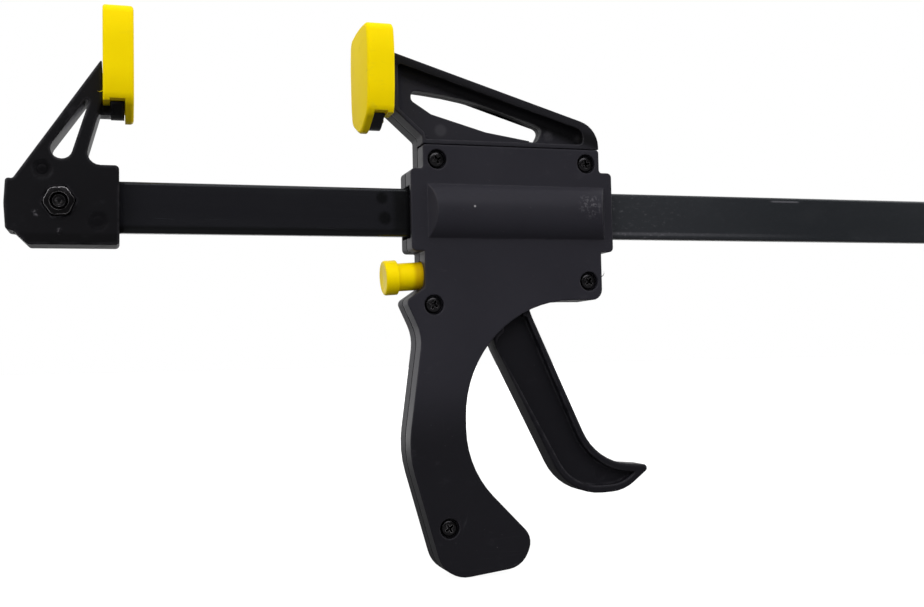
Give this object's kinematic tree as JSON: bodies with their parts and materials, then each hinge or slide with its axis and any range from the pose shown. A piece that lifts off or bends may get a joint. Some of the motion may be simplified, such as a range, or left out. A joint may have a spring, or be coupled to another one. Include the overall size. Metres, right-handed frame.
{
  "type": "quick release bar clamp",
  "caption": "One-handed bar clamp: flat bar with a fixed jaw and a sliding jaw with soft pads, pistol grip, squeeze trigger and release button.",
  "frame": {"origin": "middle of the fixed pad's clamping face", "axes": "+X along the bar from the fixed jaw to the moving jaw, +Y away from the cover side, +Z from the bar up to the pads"},
  "size_m": [0.4613, 0.0344, 0.221],
  "materials": {
    "nylon": "matte black glass-filled nylon",
    "pad": "satin yellow soft plastic",
    "button": "satin yellow plastic",
    "bar_steel": "semi-gloss black paint",
    "fastener": "blackened steel",
    "lever_plate": "hardened plate, dull",
    "spring_wire": "drawn wire"
  },
  "bodies": {
    "bar": {"slide_bar": "bar_steel", "bar_stop_pin": "fastener", "fixed_jaw": "nylon", "jaw_bolt": "fastener", "jaw_nut": "fastener"},
    "fixed_pad": {"fixed_pad": "pad"},
    "moving_jaw": {"jaw_body": "nylon", "front_cover": "nylon", "cover_screw_1": "fastener", "cover_screw_2": "fastener", "cover_screw_3": "fastener", "cover_screw_4": "fastener", "cover_screw_5": "fastener", "trigger_pin": "fastener", "drive_spring": "spring_wire", "brake_spring": "spring_wire"},
    "moving_pad": {"moving_pad": "pad"},
    "trigger": {"trigger": "nylon"},
    "drive_lever": {"drive_lever": "lever_plate"},
    "brake_lever": {"brake_lever": "lever_plate"},
    "release_button": {"release_button": "button"}
  },
  "joints": [
    {"name": "jaw_slide", "type": "slide", "parent": "bar", "child": "moving_jaw", "axis": [1, 0, 0], "range_m": [-0.087, 0.2124]},
    {"name": "trigger_squeeze", "type": "hinge", "parent": "moving_jaw", "child": "trigger", "pos_m": [0.147, 0, -0.0853], "axis": [0, 1, 0], "range_deg": [0, 18], "stiffness_Nm_per_rad": 1.2, "springref_deg": -17.19},
    {"name": "drive_lever_push", "type": "slide", "parent": "moving_jaw", "child": "drive_lever", "axis": [1, 0, 0], "range_m": [0, 0.0049], "deforming": ["drive_spring"]},
    {"name": "brake_lever_tilt", "type": "hinge", "parent": "moving_jaw", "child": "brake_lever", "pos_m": [0.1194, 0, -0.0401], "axis": [0, -1, 0], "range_deg": [0, 6], "stiffness_Nm_per_rad": 0.6, "springref_deg": -11.46, "deforming": ["brake_spring"]},
    {"name": "release_press", "type": "slide", "parent": "moving_jaw", "child": "release_button", "axis": [0.9982, 0, 0.0593], "range_m": [0, 0.0046]},
    {"name": "fixed_pad_slip", "type": "slide", "parent": "bar", "child": "fixed_pad", "axis": [0, 0, 1], "range_m": [0, 0.044]},
    {"name": "moving_pad_slip", "type": "slide", "parent": "moving_jaw", "child": "moving_pad", "axis": [0, 0, 1], "range_m": [0, 0.044]}
  ],
  "couplings": [
    {"joint": "drive_lever_push", "follows": "trigger_squeeze", "m_per_rad": 0.0153},
    {"joint": "release_press", "follows": "brake_lever_tilt", "m_per_rad": 0.043}
  ]
}
